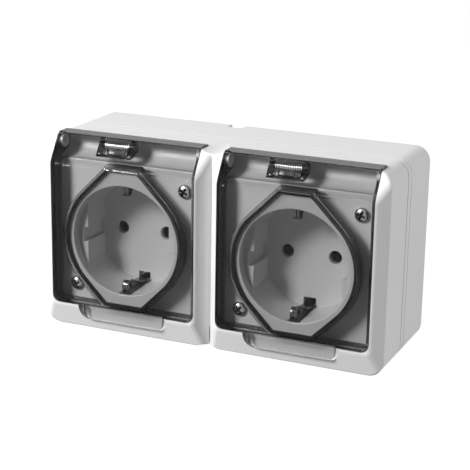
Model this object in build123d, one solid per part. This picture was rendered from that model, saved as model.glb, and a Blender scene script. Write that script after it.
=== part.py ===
from build123d import *
import math
import os

# Surface-mounted weatherproof double socket outlet with two spring lids.
# Millimetres. X runs along the wall, +Z is up and the wall face lies at Y = 0,
# so everything stands in front of the wall at negative Y.
# A size whose name ends in _in is a depth behind the outer face of a closed lid.

# Overall size
pitch = 69.4
height = 76.0
depth = 51.5
corner_r = 6.0
wall = 2.2
back_wall = 2.5

# Joint between the back box and the front frame
seam_in = 24.0
seam_gap = 0.4
gasket_width = 1.0
gasket_height = 1.4
gasket_inset = 0.6

# Bezel round each lid
outer_flank_width = 4.3
outer_flank_depth = 4.4
groove_half_width = 4.4
groove_depth = 6.2
bezel_drop = 4.0
bezel_drop_height = 9.4
crown_round = 2.8
bezel_edge_round = 1.2
web_notch_half_width = 5.4
web_notch_depth = 1.5
web_notch_run = 20.0

# Lid outline and wall
lid_width = 59.8
lid_proud = 0.65
lower_bezel = 10.3
lid_slope_rise = 10.75
lid_corner_r = 3.0
lid_gap = 0.3
lid_face = 1.8
lid_slope_run = 6.9
lid_slope_wall = 1.5
lid_strip_wall = 1.2
lid_side_wall = 1.2
lid_skirt_in = 6.6
lid_strip_rear_in = 13.2
crease_round = 1.6
plateau_rise = 0.5
plateau_margin = 0.5

# Hinge
hinge_in = 9.0
hinge_drop = 4.05
trough_r = 6.1
stub_r = 2.6
stub_reach = 2.0
stub_end_gap = 0.3
hinge_clearance = 0.05
ear_rear_in = 12.2
ear_drop = 3.2
skirt_drop = 5.3

# Spring window in the sloped top of the lid
window_left = -11.3
window_right = 0.9
rib = 1.1
rib_eye_r = 2.3
spring_r = 2.0
spring_wire = 0.8
spring_pitch = 0.9
spring_turns = 12
spring_pin_r = 1.2
pin_clearance = 0.03
spring_post = 1.2
spring_post_depth = 1.8
spring_post_drop = 0.6

# Finger tab and the recess behind it
tab_width = 34.6
tab_drop = 5.6
tab_face_in = 0.3
tab_thickness = 1.8
tab_corner_r = 3.0
tab_edge_round = 0.6
recess_side_gap = 0.6
recess_in = 3.8
recess_flare = 0.9

# Sealing outline: a round waist with 45 degree flats, cut level above and below
outlet_z = -0.3
outline_r = 24.2
outline_top_gap = 0.3
outline_bottom_gap = 1.1
lid_rib_wall = 1.0
lid_rib_gap = 0.15
lid_rib_in = 5.6
seal_width = 1.0
seal_height = 0.95
collar_inset = 0.3
seal_squash_gap = 0.05

# Socket insert
plate_in = 8.0
plate_thickness = 2.2
plate_gap = 0.2
collar_in = 2.8
well_rim_r = 21.4
well_floor_r = 20.5
well_depth = 17.5
well_wall_r = 23.8
floor_thickness = 2.2
guide_half_gap = 17.3
guide_start = 3.6
guide_groove_low = -3.3
guide_groove_high = 2.5
guide_groove_depth = 1.9
pin_spacing = 19.0
pin_hole_r = 2.6
rim_round = 0.5

# Insert gasket and the ledge it lies on
insert_gasket_thickness = 0.8
insert_gasket_margin = 0.4
ledge = 2.2
ledge_hole_gap = 0.8

# Cover screws
screw_x = 23.2
screw_z = 21.2
screw_r = 1.75
screw_clearance = 0.2
screw_head_r = 2.85
screw_head = 2.1
screw_length = 28.0
screw_slot = 0.9
screw_slot_depth = 1.1
boss_r = 3.6
boss_bore_clearance = 0.05

# Contact block, contacts and earth strap
block_width = 42.0
block_height = 34.0
wiring_room = 6.5
block_corner_r = 4.0
sleeve_wall = 0.6
sleeve_end_gap = 5.0
sleeve_slit = 0.8
sleeve_clearance = 0.1
earth_slot_half = 2.5
earth_slot_inner = 17.0
earth_slot_outer = 22.8
earth_slot_start = 0.8
lining = 0.8
lining_clearance = 0.1
earth_width = 4.2
earth_metal = 0.8
earth_arm = 19.4
earth_front_lobe = 2.5
earth_rear_lobe = 0.9
earth_dip = -0.8
earth_lobe_step = 2.8
earth_tip_in = 6.2
terminal_x = 14.0
terminal_r = 1.6
terminal_head_r = 2.6
terminal_head = 1.8
terminal_length = 6.0
terminal_clearance = 0.1

# Wall fixing and cable entry
fixing_x = 96.0
fixing_z = 58.0
fixing_r = 2.25
fixing_rim = 2.2
fixing_rim_height = 1.2
entry_z = 12.0
entry_r = 8.0
grommet_flange = 1.6
grommet_flange_height = 1.2
grommet_set_back = 0.1
cable_r = 4.0
rear_notch_x = -9.0
rear_notch_width = 6.0
rear_notch_depth = 5.0
rear_notch_drop = 1.3
rear_edge_round = 0.8

# Shadow line round the back box behind its front lip
lip_line_in = 27.6
lip_line_width = 0.35
lip_line_depth = 0.25

# Worked out from the sizes above
lid_y = -depth
width = 2 * pitch
half_height = height / 2
lid_top = half_height + lid_proud
lid_crease = lid_top - lid_slope_rise
lid_bottom = -half_height + lower_bezel
hinge_z = lid_top - hinge_drop
ear_low_z = hinge_z - ear_drop
skirt_top_z = hinge_z - skirt_drop
window_low_z = hinge_z - spring_r - spring_wire / 2
outline_top = lid_crease - outlet_z - outline_top_gap
outline_bottom = outlet_z - lid_bottom - outline_bottom_gap
plate_top = hinge_z - trough_r - plate_gap
seam_y = lid_y + seam_in
hinge_y = lid_y + hinge_in
plate_y = lid_y + plate_in
floor_y = lid_y + collar_in + well_depth
ledge_y = plate_y + plate_thickness + insert_gasket_thickness
block_y = floor_y + floor_thickness
block_depth = -back_wall - wiring_room - block_y
sleeve_length = block_depth - sleeve_end_gap
strap_y = block_y + block_depth + terminal_clearance
pocket_half = lid_width / 2 + lid_gap
pocket_low = lid_bottom - lid_gap
margin = 2.0
far = 200.0


def slab(sketch, front, rear):
    """Solid between two depths from a sketch drawn in X and Z."""
    return extrude(Plane((0, rear, 0), (1, 0, 0), (0, -1, 0)) * sketch, rear - front, dir=(0, -1, 0))


def lengthwise(sketch, left, right):
    """Solid between two X positions from a sketch drawn in Y and Z."""
    return extrude(Plane((left, 0, 0), (0, 1, 0), (1, 0, 0)) * sketch, right - left, dir=(1, 0, 0))


def block(x0, x1, y0, y1, z0, z1):
    """Solid box between two corners."""
    return Pos((x0 + x1) / 2, (y0 + y1) / 2, (z0 + z1) / 2) * Box(x1 - x0, y1 - y0, z1 - z0)


def rod(r, x, z, front, rear):
    """Round bar along Y."""
    return slab(Pos(x, z) * Circle(r), front, rear)


def bar(r, y, z, left, right):
    """Round bar along X."""
    return lengthwise(Pos(y, z) * Circle(r), left, right)


def ring(sketch_out, sketch_in, front, rear):
    """Solid between an outer and an inner outline."""
    return slab(sketch_out - sketch_in, front, rear)


def together(solids):
    """Separate like solids as one piece."""
    group = solids[0]
    for solid in solids[1:]:
        group += solid
    return group


def collar_outline(grow):
    """Sealing outline seen from the front, grown outwards by an amount."""
    r = outline_r + grow
    flat = r * math.sqrt(2)
    tangent = r / math.sqrt(2)
    top = outline_top + grow
    low = -(outline_bottom + grow)
    top_x = flat - top
    low_x = flat + low
    edges = [
        Line((-top_x, top), (top_x, top)),
        Line((top_x, top), (tangent, tangent)),
        ThreePointArc((tangent, tangent), (r, 0), (tangent, -tangent)),
        Line((tangent, -tangent), (low_x, low)),
        Line((low_x, low), (-low_x, low)),
        Line((-low_x, low), (-tangent, -tangent)),
        ThreePointArc((-tangent, -tangent), (-r, 0), (-tangent, tangent)),
        Line((-tangent, tangent), (-top_x, top)),
    ]
    return Pos(0, outlet_z) * make_face(edges)


def rounded(sketch, low, high, r):
    """Round the corners of a sketch that lie in a box of its own coordinates."""
    corners = [
        v
        for v in sketch.vertices()
        if low[0] <= v.X <= high[0] and low[1] <= v.Y <= high[1]
    ]
    return fillet(corners, r)


def screw_places():
    """Cover screws of one outlet, upper right and lower left."""
    return [(screw_x, outlet_z + screw_z), (-screw_x, outlet_z - screw_z)]


def outlet_centres():
    """X of the two outlets."""
    return [-pitch / 2, pitch / 2]


def body_outline(inset):
    """Front view of the whole housing, moved in from its outside."""
    return RectangleRounded(width - 2 * inset, height - 2 * inset, corner_r - inset)


def web_notch(sign):
    """Shallow round trough between the two bezels in the top or bottom face, that runs out at the seam."""
    r = (web_notch_half_width**2 + web_notch_depth**2) / (2 * web_notch_depth)
    tilt = math.degrees(math.atan(web_notch_depth / web_notch_run))
    top = sign * half_height
    trough = rod(r, 0, sign * (r - web_notch_depth), -margin, seam_in)
    return Pos(0, lid_y, top) * Rot(sign * tilt, 0, 0) * trough


def wedge(corner_a, corner_b, beyond):
    """Triangle that cuts along the line through two points, out to a third beyond it."""
    ax, ay = corner_a
    bx, by = corner_b
    start = (2 * ax - bx, 2 * ay - by)
    end = (2 * bx - ax, 2 * by - ay)
    return make_face(Polyline(start, end, beyond, close=True))


def hip_edges(shape):
    """Edges that leave the corners of the two flat front faces and run backwards."""
    return [
        edge
        for edge in shape.edges()
        if edge.bounding_box().min.Y < lid_y + seam_gap / 2 and edge.bounding_box().max.Y > lid_y + bezel_drop / 2
    ]


def outer_edges(shape, rear):
    """Edges where the bevelled flanks meet the sides, the bottom and the lower corners."""
    side_x = width / 2
    low = -half_height
    found = ShapeList()
    for edge in shape.edges():
        box = edge.bounding_box()
        if box.min.Y < lid_y + margin or box.max.Y > rear - margin / 2:
            continue
        middle = edge.center()
        at_side = max(box.max.X, -box.min.X) > side_x - corner_r + margin / 2
        at_low = box.max.Z < low + corner_r
        if (at_side and middle.Z < half_height - crown_round / 2) or (at_low and abs(middle.X) > groove_half_width):
            found.append(edge)
    return found


def frame_outside():
    """Two bevelled bezels in one moulding, without its pockets."""
    rear = seam_y - seam_gap / 2
    side_x = width / 2
    low = -half_height
    body = slab(body_outline(0), lid_y, rear)
    for side in (-1, 1):
        crown = (side * (side_x - outer_flank_width), lid_y)
        flank = (side * side_x, lid_y + outer_flank_depth)
        cut = wedge(crown, flank, (side * (side_x + outer_flank_width), lid_y - outer_flank_depth))
        body -= Pos(0, 0, -height) * extrude(cut, 2 * height, dir=(0, 0, 1))
    vee_top = 2 * groove_half_width
    valley = make_face(
        Polyline((0, lid_y + groove_depth), (-vee_top, lid_y - groove_depth), (vee_top, lid_y - groove_depth), close=True)
    )
    body -= Pos(0, 0, -height) * extrude(valley, 2 * height, dir=(0, 0, 1))
    under = wedge((lid_y, low + bezel_drop_height), (lid_y + bezel_drop, low), (lid_y - bezel_drop, low - bezel_drop))
    body -= lengthwise(under, -width, width)
    over = wedge((lid_y, lid_crease), (lid_y + lid_slope_run, lid_top), (lid_y - lid_slope_run, lid_top + lid_slope_run))
    body -= lengthwise(over, -width, width)
    crowns = [edge for face in body.faces().sort_by(Axis.Y)[:2] for edge in face.edges()]
    body = fillet(crowns + hip_edges(body), crown_round)
    body = fillet(outer_edges(body, rear), bezel_edge_round)
    return body - web_notch(1) - web_notch(-1)


def lid_pocket():
    """Space for one lid, the insert plate and the swing of the lid's top edge."""
    low = Pos(0, (pocket_low + half_height + margin) / 2) * Rectangle(
        2 * pocket_half, half_height + margin - pocket_low
    )
    low = rounded(low, (-pocket_half - 1, pocket_low - 1), (pocket_half + 1, pocket_low + 1), lid_corner_r + lid_gap)
    floor_z = hinge_z - trough_r
    pocket = slab(low, lid_y - margin, ledge_y) & block(
        -far, far, -far, far, -far, floor_z
    )
    trough = bar(trough_r, hinge_y, hinge_z, -pocket_half, pocket_half)
    above = block(-pocket_half, pocket_half, lid_y - margin, hinge_y, floor_z, half_height + margin)
    return pocket + trough + above


def finger_recess():
    """Shallow scoop in the bezel behind the lid's finger tab, flared at its mouth."""
    half = tab_width / 2 + recess_side_gap
    low = lid_bottom - tab_drop - recess_side_gap
    high = pocket_low + margin
    shape = Pos(0, (low + high) / 2) * Rectangle(2 * half, high - low)
    shape = rounded(shape, (-half - 1, low - 1), (half + 1, low + 1), tab_corner_r + recess_side_gap)
    flare = offset(shape, recess_flare)
    scoop = slab(shape, lid_y - margin, lid_y + recess_in)
    mouth = loft([
        Plane((0, lid_y + recess_in, 0), (1, 0, 0), (0, -1, 0)) * shape,
        Plane((0, lid_y, 0), (1, 0, 0), (0, -1, 0)) * flare,
    ])
    return scoop + mouth


def front_frame():
    """Front moulding with both bezels, ledges, hinge troughs and hinge stubs."""
    rear = seam_y - seam_gap / 2
    frame = frame_outside()
    trough_back = hinge_y + trough_r + wall
    ledge_back = ledge_y + ledge
    inner = body_outline(wall)
    frame -= slab(inner, trough_back, rear + margin)
    under_trough = hinge_z - trough_r - wall
    frame -= slab(inner, ledge_back, trough_back) & block(-far, far, -far, far, -far, under_trough)
    bezel_room = recess_in + wall
    frame -= slab(inner, lid_y + bezel_room, ledge_back) & block(
        -far, far, -far, far, -far, pocket_low - wall
    )
    for x in outlet_centres():
        frame -= Pos(x, 0, 0) * lid_pocket()
        frame -= Pos(x, 0, 0) * finger_recess()
        frame -= rod(well_wall_r + ledge_hole_gap, x, outlet_z, ledge_y - margin, ledge_back + margin)
        for sx, sz in screw_places():
            frame -= rod(screw_r + screw_clearance, x + sx, sz, ledge_y - margin, ledge_back + margin)
        for side in (-1, 1):
            wall_x = x + side * pocket_half
            tip_x = wall_x - side * stub_reach
            frame += bar(stub_r, hinge_y, hinge_z, min(wall_x, tip_x), max(wall_x, tip_x))
    return frame - gasket_groove()


def gasket_ring(height_each_side):
    """Rubber cord between frame and box, centred on the seam."""
    outer = body_outline(gasket_inset)
    inner = body_outline(gasket_inset + gasket_width)
    return ring(outer, inner, seam_y - height_each_side, seam_y + height_each_side)


def gasket_groove():
    return gasket_ring(gasket_height / 2)


def body_gasket():
    return gasket_ring(gasket_height / 2)


def back_box():
    """Rear shell with screw bosses, wall fixing holes and the cable entry."""
    front = seam_y + seam_gap / 2
    box = slab(body_outline(0), front, 0)
    box = fillet(box.faces().sort_by(Axis.Y)[-1].edges(), rear_edge_round)
    box -= slab(body_outline(wall), front - margin, -back_wall)
    boss_front = ledge_y + ledge
    bore_rear = plate_y + screw_length + margin
    for x in outlet_centres():
        for sx, sz in screw_places():
            box += rod(boss_r, x + sx, sz, boss_front, -back_wall)
            box -= rod(screw_r + boss_bore_clearance, x + sx, sz, boss_front - margin, bore_rear)
    for fx in (-fixing_x / 2, fixing_x / 2):
        for fz in (-fixing_z / 2, fixing_z / 2):
            box += rod(fixing_r + fixing_rim, fx, fz, -back_wall - fixing_rim_height, -back_wall)
            box -= rod(fixing_r, fx, fz, -back_wall - fixing_rim_height - margin, margin)
    box -= rod(entry_r, 0, entry_z, -back_wall - margin, margin)
    line_y = lid_y + lip_line_in
    box -= ring(body_outline(-margin), body_outline(lip_line_depth), line_y, line_y + lip_line_width)
    box -= block(
        rear_notch_x - rear_notch_width / 2, rear_notch_x + rear_notch_width / 2,
        -rear_notch_depth, margin, half_height - rear_notch_drop, half_height + margin,
    )
    return box - gasket_groove()


def cable_grommet():
    """Rubber bush in the back wall with one cable bore."""
    inner_face = -back_wall - grommet_flange_height
    bush = rod(entry_r, 0, entry_z, -back_wall, -grommet_set_back)
    flange = rod(entry_r + grommet_flange, 0, entry_z, inner_face, -back_wall)
    return bush + flange - rod(cable_r, 0, entry_z, inner_face - margin, margin)


def earth_slots():
    """Openings in the well wall and floor for the two earth springs."""
    slots = None
    for sign in (-1, 1):
        near, outer = sign * earth_slot_inner, sign * earth_slot_outer
        cut = block(
            -earth_slot_half, earth_slot_half, lid_y + collar_in + earth_slot_start, block_y + margin,
            outlet_z + min(near, outer), outlet_z + max(near, outer),
        )
        slots = cut if slots is None else slots + cut
    return slots


def insert():
    """Plate, sealing collar and well of one outlet, moulded as one piece."""
    half = lid_width / 2
    plate = Pos(0, (lid_bottom + plate_top) / 2) * RectangleRounded(2 * half, plate_top - lid_bottom, lid_corner_r)
    solid = slab(plate, plate_y, plate_y + plate_thickness)
    collar_y = lid_y + collar_in
    solid += slab(collar_outline(-collar_inset), collar_y, plate_y + plate_thickness / 2)
    solid += rod(well_wall_r, 0, outlet_z, plate_y, block_y)
    middle = (collar_y + floor_y) / 2
    well = Pos(0, middle, outlet_z) * Rot(90, 0, 0) * Cone(well_floor_r, well_rim_r, well_depth)
    guide = rod(well_rim_r + 1, 0, outlet_z, collar_y + guide_start, floor_y + 1)
    guide -= block(-guide_half_gap, guide_half_gap, -far, far, -far, far)
    groove_x = guide_half_gap + guide_groove_depth
    guide -= block(-groove_x, groove_x, -far, far, outlet_z + guide_groove_low, outlet_z + guide_groove_high)
    solid -= well - guide
    for side in (-1, 1):
        solid -= rod(pin_hole_r, side * pin_spacing / 2, outlet_z, floor_y - margin, block_y + margin)
    solid -= earth_slots()
    solid = fillet(front_rims(solid), rim_round)
    for sx, sz in screw_places():
        solid -= rod(screw_r + screw_clearance, sx, sz, plate_y - margin, plate_y + plate_thickness + margin)
    return solid


def front_rims(shape):
    """Outer edge of the plate's face and both edges of the collar's face."""
    rims = ShapeList()
    for face in shape.faces():
        middle = face.bounding_box()
        if middle.max.Y - middle.min.Y > seam_gap / 2:
            continue
        if abs(middle.min.Y - plate_y) < lid_gap / 2 and face.normal_at().Y < 0:
            rims.extend(face.outer_wire().edges())
        if abs(middle.min.Y - lid_y - collar_in) < lid_gap / 2:
            rims.extend(face.edges())
    return rims


def clip_linings():
    """Black strips on the outer walls of the two earth channels, behind the springs."""
    strips = []
    for sign in (-1, 1):
        outer = sign * (earth_slot_outer - lining_clearance)
        inner = outer - sign * lining
        strips.append(block(
            lining_clearance - earth_slot_half, earth_slot_half - lining_clearance,
            lid_y + collar_in + earth_slot_start + lining_clearance, block_y,
            outlet_z + min(inner, outer), outlet_z + max(inner, outer),
        ))
    return together(strips)


def insert_gasket():
    """Flat rubber gasket between the insert plate and the frame ledge."""
    half = lid_width / 2 - insert_gasket_margin
    low = lid_bottom + insert_gasket_margin
    high = hinge_z - trough_r - insert_gasket_margin - gasket_width
    sheet = Pos(0, (low + high) / 2) * RectangleRounded(2 * half, high - low, lid_corner_r)
    solid = slab(sheet, plate_y + plate_thickness, ledge_y)
    solid -= rod(well_wall_r + ledge_hole_gap, 0, outlet_z, plate_y, ledge_y + margin)
    for sx, sz in screw_places():
        solid -= rod(screw_r + screw_clearance, sx, sz, plate_y, ledge_y + margin)
    return solid


def lid_profile():
    """Side view of the lid's outside, from its front face back to its skirt edge."""
    shape = make_face(
        Polyline(
            (lid_y, lid_bottom), (lid_y, lid_crease), (lid_y + lid_slope_run, lid_top),
            (lid_y + lid_strip_rear_in, lid_top), (lid_y + lid_strip_rear_in, hinge_z - 1),
            (lid_y + ear_rear_in, ear_low_z), (lid_y + lid_skirt_in, skirt_top_z),
            (lid_y + lid_skirt_in, lid_bottom), close=True,
        )
    )
    shape = rounded(shape, (lid_y - 1, lid_crease - 1), (lid_y + 1, lid_crease + 1), crease_round)
    rear = lid_y + lid_strip_rear_in
    return rounded(shape, (rear - 0.5, lid_top - 0.5), (rear + 0.5, lid_top + 0.5), lid_strip_wall / 2)


def lid_inside():
    """Side view of the room inside the lid."""
    slope = lid_slope_run / (lid_top - lid_crease)
    lean = math.sqrt(1 + slope * slope)
    ceiling = lid_top - lid_strip_wall
    face = lid_y + lid_face
    slope_y = lid_y + lid_slope_wall * lean
    bend_z = lid_crease + (lid_face - lid_slope_wall * lean) / slope
    top_y = slope_y + slope * (ceiling - lid_crease)
    behind = lid_y + lid_strip_rear_in + margin
    return make_face(
        Polyline(
            (face, lid_bottom + lid_rib_wall), (face, bend_z), (top_y, ceiling), (behind, ceiling),
            (behind, lid_bottom + lid_rib_wall), close=True,
        )
    )


def spring_rib(x):
    """Cheek beside the window that carries the spring pin."""
    inner = lid_inside()
    front = lid_y + lid_slope_run / 3
    blank = make_face(
        Polyline(
            (front, window_low_z - rib), (front, lid_top - lid_strip_wall / 2),
            (hinge_y, lid_top - lid_strip_wall / 2), (hinge_y + rib_eye_r, hinge_z),
            (hinge_y, hinge_z - rib_eye_r), (lid_y + lid_slope_run - rib_eye_r / 2, window_low_z - rib), close=True,
        )
    )
    cheek = lengthwise(blank, x, x + rib) + bar(rib_eye_r, hinge_y, hinge_z, x, x + rib)
    cheek &= lengthwise(lid_profile(), x - margin, x + rib + margin)
    return cheek - bar(spring_pin_r + pin_clearance, hinge_y, hinge_z, x - margin, x + rib + margin)


def spring_post_places():
    """Two short posts on the window sill, in front of the coil."""
    step = (window_right - window_left) / 5
    return [window_left + step, window_right - step]


def lid():
    """Smoky lid: face, raised sealing plateau, sloped top, skirts, finger tab and hinge eyes."""
    half = lid_width / 2
    front_view = Pos(0, (lid_bottom + lid_top + margin) / 2) * Rectangle(lid_width, lid_top + margin - lid_bottom)
    front_view = rounded(front_view, (-half - 1, lid_bottom - 1), (half + 1, lid_bottom + 1), lid_corner_r)
    outside = lengthwise(lid_profile(), -half, half) & slab(front_view, lid_y - margin, hinge_y + trough_r)
    inner_half = half - lid_side_wall
    solid = outside - lengthwise(lid_inside(), -inner_half, inner_half)
    solid += slab(collar_outline(plateau_margin), lid_y - plateau_rise, lid_y + lid_face / 2)
    skirt = ring(
        collar_outline(lid_rib_gap + lid_rib_wall), collar_outline(lid_rib_gap),
        lid_y + lid_face / 2, lid_y + lid_rib_in,
    )
    solid += skirt & outside
    window = block(
        window_left, window_right, lid_y - margin, hinge_y,
        window_low_z, lid_top - lid_strip_wall - lid_slope_wall / 4,
    )
    solid -= window
    solid += spring_rib(window_left - rib)
    solid += spring_rib(window_right)
    post_rear = hinge_y - spring_r - spring_wire / 2 - pin_clearance
    sill = block(
        window_left - rib, window_right + rib, lid_y, post_rear, window_low_z - rib, window_low_z,
    )
    solid += sill & outside
    for x in spring_post_places():
        solid += block(
            x - spring_post / 2, x + spring_post / 2, post_rear - spring_post_depth, post_rear,
            window_low_z - rib, hinge_z - spring_post_drop,
        )
    stub_tip = pocket_half - stub_reach - stub_end_gap
    for side in (-1, 1):
        ends = sorted((side * stub_tip, side * (half + margin)))
        solid -= bar(stub_r + hinge_clearance, hinge_y, hinge_z, *ends)
    tab_root = lid_rib_wall / 2
    tab = Pos(0, lid_bottom + (tab_root - tab_drop) / 2) * Rectangle(tab_width, tab_drop + tab_root)
    tab = rounded(tab, (-half, lid_bottom - tab_drop - 1), (half, lid_bottom - tab_drop + 1), tab_corner_r)
    tab = slab(tab, lid_y + tab_face_in, lid_y + tab_face_in + tab_thickness)
    front_edges = tab.faces().sort_by(Axis.Y)[0].edges()
    return solid + fillet(front_edges, tab_edge_round)


def lid_seal():
    """Rubber seal inside the lid that lands on the front of the insert's collar."""
    front = lid_y + lid_face
    return ring(collar_outline(0), collar_outline(-seal_width), front, front + seal_height)


def spring_pin():
    """Steel pin through the lid's two cheeks, carrying the spring."""
    return bar(spring_pin_r, hinge_y, hinge_z, window_left - rib, window_right + rib)


def torsion_spring():
    """Closing spring: a coil round the pin, one leg on the window sill, one in the trough."""
    length = spring_pitch * spring_turns
    middle = (window_left + window_right) / 2
    start = middle - length / 2
    path = Helix(spring_pitch, length, spring_r, center=(0, 0, 0), direction=(0, 0, 1))
    section = Plane(path @ 0, z_dir=path % 0) * Circle(spring_wire / 2)
    coil = sweep(section, path, is_frenet=True)
    along_x = Plane((start, hinge_y, hinge_z), (0, 0, -1), (1, 0, 0))
    coil = along_x * coil
    end = start + length
    low = hinge_z - spring_r
    front_leg = Pos(start, hinge_y, low) * Rot(90, 0, 0) * Cylinder(
        spring_wire / 2, hinge_in - spring_wire - lid_slope_run / 3, align=(Align.CENTER, Align.CENTER, Align.MIN)
    )
    reach = math.sqrt((trough_r - spring_wire) ** 2 - spring_r**2)
    rear_leg = Pos(end, hinge_y, low) * Rot(-90, 0, 0) * Cylinder(
        spring_wire / 2, reach, align=(Align.CENTER, Align.CENTER, Align.MIN)
    )
    return coil + front_leg + rear_leg


def cover_screws():
    """Two round-head cross-slot screws that hold insert and frame to the box."""
    screws = []
    for sx, sz in screw_places():
        dome_r = (screw_head_r**2 + screw_head**2) / (2 * screw_head)
        head = Pos(sx, plate_y - screw_head + dome_r, sz) * Sphere(dome_r)
        head &= rod(screw_head_r, sx, sz, plate_y - screw_head - margin, plate_y)
        head += rod(screw_r, sx, sz, plate_y, plate_y + screw_length)
        arm = screw_head_r * 0.62
        depth_y = plate_y - screw_head + screw_slot_depth
        for across, up in ((arm, screw_slot / 2), (screw_slot / 2, arm)):
            head -= block(sx - across, sx + across, plate_y - screw_head - margin, depth_y, sz - up, sz + up)
        screws.append(head)
    return together(screws)


def contact_block():
    """Moulded carrier behind the well with two contact chambers."""
    outline = Pos(0, outlet_z) * RectangleRounded(block_width, block_height, block_corner_r)
    solid = slab(outline, block_y, block_y + block_depth)
    chamber_r = pin_hole_r + sleeve_wall + sleeve_clearance
    for side in (-1, 1):
        x = side * pin_spacing / 2
        solid -= rod(chamber_r, x, outlet_z, block_y - margin, block_y + sleeve_length + margin)
    for x, z in terminal_places():
        hole_r = terminal_r + terminal_clearance
        rear = block_y + block_depth
        solid -= rod(hole_r, x, z, rear - terminal_length, rear + margin)
    return solid


def terminal_places():
    """Two line terminals and the earth terminal of one outlet."""
    return [(-terminal_x, outlet_z), (terminal_x, outlet_z), (0, outlet_z)]


def pin_contacts():
    """Split sleeves that grip the plug pins."""
    sleeves = []
    for side in (-1, 1):
        x = side * pin_spacing / 2
        outer = Pos(x, outlet_z) * Circle(pin_hole_r + sleeve_wall)
        inner = Pos(x, outlet_z) * Circle(pin_hole_r)
        sleeve = ring(outer, inner, block_y, block_y + sleeve_length)
        outside_x = x + side * (pin_hole_r + sleeve_wall)
        slit_low, slit_high = min(x, outside_x), max(x, outside_x)
        sleeve -= block(
            slit_low, slit_high + margin, block_y + sleeve_wall, block_y + sleeve_length + margin,
            outlet_z - sleeve_slit / 2, outlet_z + sleeve_slit / 2,
        ) if side > 0 else block(
            slit_low - margin, slit_high, block_y + sleeve_wall, block_y + sleeve_length + margin,
            outlet_z - sleeve_slit / 2, outlet_z + sleeve_slit / 2,
        )
        sleeves.append(sleeve)
    return together(sleeves)


def earth_strap():
    """One bent strip: two sprung arms with a pair of lobes each, and the bridge behind the block."""
    bridge = strap_y + earth_metal / 2
    front_crest = lid_y + earth_tip_in + earth_metal
    dip = front_crest + earth_lobe_step
    rear_crest = dip + earth_lobe_step
    run = rear_crest + earth_lobe_step
    arm = [
        (front_crest - 2 * earth_metal, earth_arm + earth_metal),
        (front_crest, earth_arm - earth_front_lobe),
        (dip, earth_arm - earth_dip),
        (rear_crest, earth_arm - earth_rear_lobe),
        (run, earth_arm),
        (bridge, earth_arm),
    ]
    points = [(y, outlet_z - z) for y, z in arm] + [(y, outlet_z + z) for y, z in reversed(arm)]
    path = FilletPolyline(*points, radius=earth_metal)
    strap = lengthwise(trace(path, earth_metal), -earth_width / 2, earth_width / 2)
    hole_r = terminal_r + terminal_clearance
    return strap - rod(hole_r, 0, outlet_z, strap_y - margin, strap_y + earth_metal + margin)


def terminal_screws():
    """Slotted terminal screws behind the block."""
    screws = []
    for x, z in terminal_places():
        seat = strap_y + earth_metal if x == 0 else block_y + block_depth
        head = rod(terminal_head_r, x, z, seat, seat + terminal_head)
        head -= block(
            x - terminal_head_r, x + terminal_head_r, seat + terminal_head / 2, seat + terminal_head + margin,
            z - screw_slot / 2, z + screw_slot / 2,
        )
        shank = rod(terminal_r, x, z, block_y + block_depth - terminal_length + margin, seat)
        screws.append(head + shank)
    return together(screws)


def write(name, shape, x=0.0):
    """Save one piece in its place."""
    export_step(Pos(x, 0, 0) * shape, "parts/" + name + ".step")


os.makedirs("parts", exist_ok=True)
write("front_frame", front_frame())
write("back_box", back_box())
write("body_gasket", body_gasket())
write("cable_grommet", cable_grommet())
outlet_pieces = {
    "insert": insert(),
    "insert_gasket": insert_gasket(),
    "clip_linings": clip_linings(),
    "lid": lid(),
    "lid_seal": lid_seal(),
    "spring_pin": spring_pin(),
    "torsion_spring": torsion_spring(),
    "cover_screws": cover_screws(),
    "contact_block": contact_block(),
    "pin_contacts": pin_contacts(),
    "earth_strap": earth_strap(),
    "terminal_screws": terminal_screws(),
}
for side, centre in zip(("left", "right"), outlet_centres()):
    for piece, shape in outlet_pieces.items():
        write(side + "_" + piece, shape, centre)
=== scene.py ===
import contextlib
import math

import bmesh
import bpy
from mathutils import Matrix, Vector


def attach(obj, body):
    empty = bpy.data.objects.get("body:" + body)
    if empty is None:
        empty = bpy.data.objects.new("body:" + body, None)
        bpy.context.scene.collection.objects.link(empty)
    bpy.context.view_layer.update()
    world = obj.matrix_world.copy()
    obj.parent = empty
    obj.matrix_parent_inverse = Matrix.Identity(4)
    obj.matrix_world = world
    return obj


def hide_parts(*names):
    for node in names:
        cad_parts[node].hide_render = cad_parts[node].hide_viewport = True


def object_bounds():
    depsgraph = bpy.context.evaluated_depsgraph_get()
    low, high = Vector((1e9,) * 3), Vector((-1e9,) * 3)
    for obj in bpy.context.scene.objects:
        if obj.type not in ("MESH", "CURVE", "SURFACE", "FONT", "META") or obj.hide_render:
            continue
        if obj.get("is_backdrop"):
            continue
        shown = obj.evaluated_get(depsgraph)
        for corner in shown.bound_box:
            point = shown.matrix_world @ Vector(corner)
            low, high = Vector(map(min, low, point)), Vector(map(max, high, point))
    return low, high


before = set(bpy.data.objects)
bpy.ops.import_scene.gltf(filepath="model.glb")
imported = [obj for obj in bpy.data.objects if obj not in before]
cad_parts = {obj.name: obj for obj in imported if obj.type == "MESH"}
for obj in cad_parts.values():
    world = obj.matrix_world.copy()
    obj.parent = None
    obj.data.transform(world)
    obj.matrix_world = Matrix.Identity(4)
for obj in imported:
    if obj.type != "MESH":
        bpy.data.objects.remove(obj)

bl_info = {
    "name": "Weatherproof Double Socket",
    "version": (1, 0, 0),
    "blender": (4, 5, 0),
    "location": "3D View > Sidebar > Socket",
    "description": "Finishes and fine pieces of an outdoor double socket with two smoky spring lids",
    "category": "Object",
}

MM = 0.001
SIDES = ("left", "right")
LID_BODY = {"left": "left_lid_assembly", "right": "right_lid_assembly"}
HOUSING_BODY = "housing"

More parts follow.
